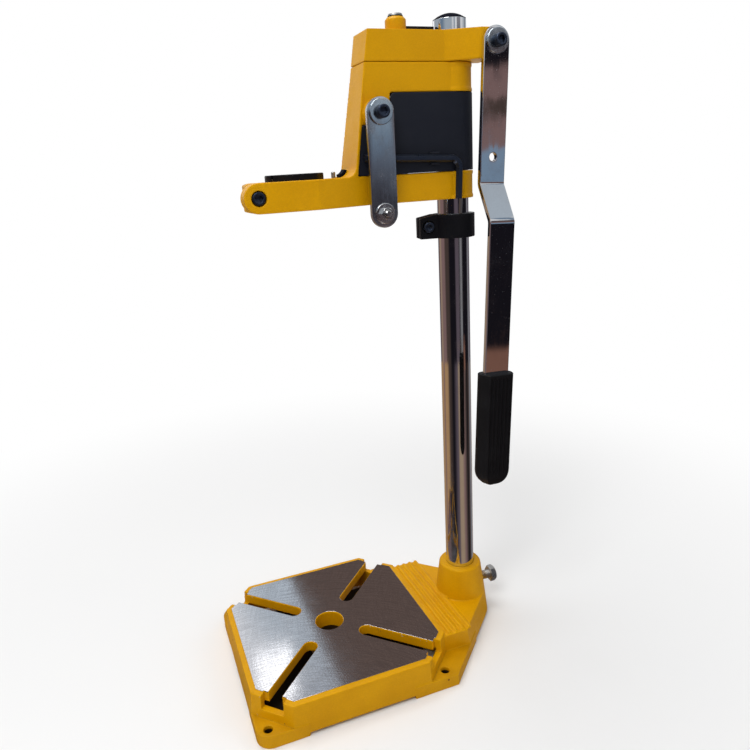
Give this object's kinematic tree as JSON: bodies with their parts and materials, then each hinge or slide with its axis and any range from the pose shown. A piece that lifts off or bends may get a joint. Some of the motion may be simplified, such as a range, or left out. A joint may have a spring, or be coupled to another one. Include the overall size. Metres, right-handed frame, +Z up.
{
  "type": "drill stand",
  "caption": "Bench drill stand: slotted machine table, chromed column, sprung carriage with a split drill collar, swinging feed lever and link, depth stop collar.",
  "frame": {"origin": "bench plane under the centre hole of the table, on the drill's axis", "axes": "+X from the column to the drill collar, +Y to the side that carries the lever and the link, +Z up along the column"},
  "size_m": [0.2488, 0.166, 0.5196],
  "materials": {
    "yellow_paint": "glossy paint on a cast surface",
    "chrome": "polished chrome",
    "zinc": "zinc plated",
    "black_steel": "black oxide",
    "black_paint": "satin black",
    "cover_plastic": "fine grain, blue-black",
    "cap_plastic": "glossy black",
    "grip_rubber": "matt, ribbed lengthwise",
    "bush_brass": "machined",
    "spring_steel": "drawn wire"
  },
  "bodies": {
    "stand": {"base": "yellow_paint", "base_clamp_bolt": "zinc"},
    "column": {"column": "chrome", "column_cap": "cap_plastic"},
    "head": {"head_bracket": "yellow_paint", "head_clamp_screw": "black_steel", "slit_strip": "grip_rubber", "guide_rod": "spring_steel", "rod_top_screw": "zinc", "rod_end_washer": "zinc", "rod_end_screw": "zinc", "return_spring": "spring_steel", "lever_pivot_screw": "black_steel", "lever_pivot_washer": "zinc", "lever_bush": "bush_brass"},
    "carriage": {"carriage": "yellow_paint", "carriage_arm": "yellow_paint", "near_cover": "cover_plastic", "far_cover": "cover_plastic", "upper_bush": "bush_brass", "lower_bush": "bush_brass", "rod_bush": "bush_brass", "collar_ring": "black_paint", "collar_clamp_screw": "black_steel", "collar_clamp_nut": "zinc", "arm_stud": "zinc", "arm_stop": "black_paint", "hex_key": "black_steel", "link_pivot_screw": "black_steel", "link_pivot_washer": "zinc", "link_bush": "bush_brass"},
    "link": {"link": "zinc", "link_bolt": "zinc", "link_washer": "zinc", "link_nut": "zinc"},
    "lever": {"lever_arm": "chrome", "lever_grip": "grip_rubber"},
    "stop": {"stop_collar": "black_paint", "stop_collar_screw": "black_steel"}
  },
  "joints": [
    {"name": "column_swivel", "type": "hinge", "parent": "stand", "child": "column", "pos_m": [-0.13, 0, 0], "axis": [0, 0, 1], "range_deg": [-180, 180]},
    {"name": "head_height", "type": "slide", "parent": "column", "child": "head", "axis": [0, 0, 1], "range_m": [-0.1, 0.009]},
    {"name": "carriage_slide", "type": "slide", "parent": "head", "child": "carriage", "axis": [0, 0, 1], "range_m": [-0.06, 0], "stiffness_N_per_m": 2400, "springref_m": 0.018, "deforming": ["return_spring"]},
    {"name": "stop_slide", "type": "slide", "parent": "head", "child": "stop", "axis": [0, 0, 1], "range_m": [-0.0486, 0]},
    {"name": "lever_swing", "type": "hinge", "parent": "head", "child": "lever", "pos_m": [-0.1527, 0, 0.4954], "axis": [0, -1, 0], "range_deg": [-258, 48]},
    {"name": "link_swing", "type": "hinge", "parent": "carriage", "child": "link", "pos_m": [-0.06, 0, 0.4489], "axis": [0, -1, 0], "range_deg": [-50, 12]}
  ],
  "couplings": [
    {"joint": "stop_slide", "follows": "carriage_slide", "ratio": 0.80667}
  ]
}
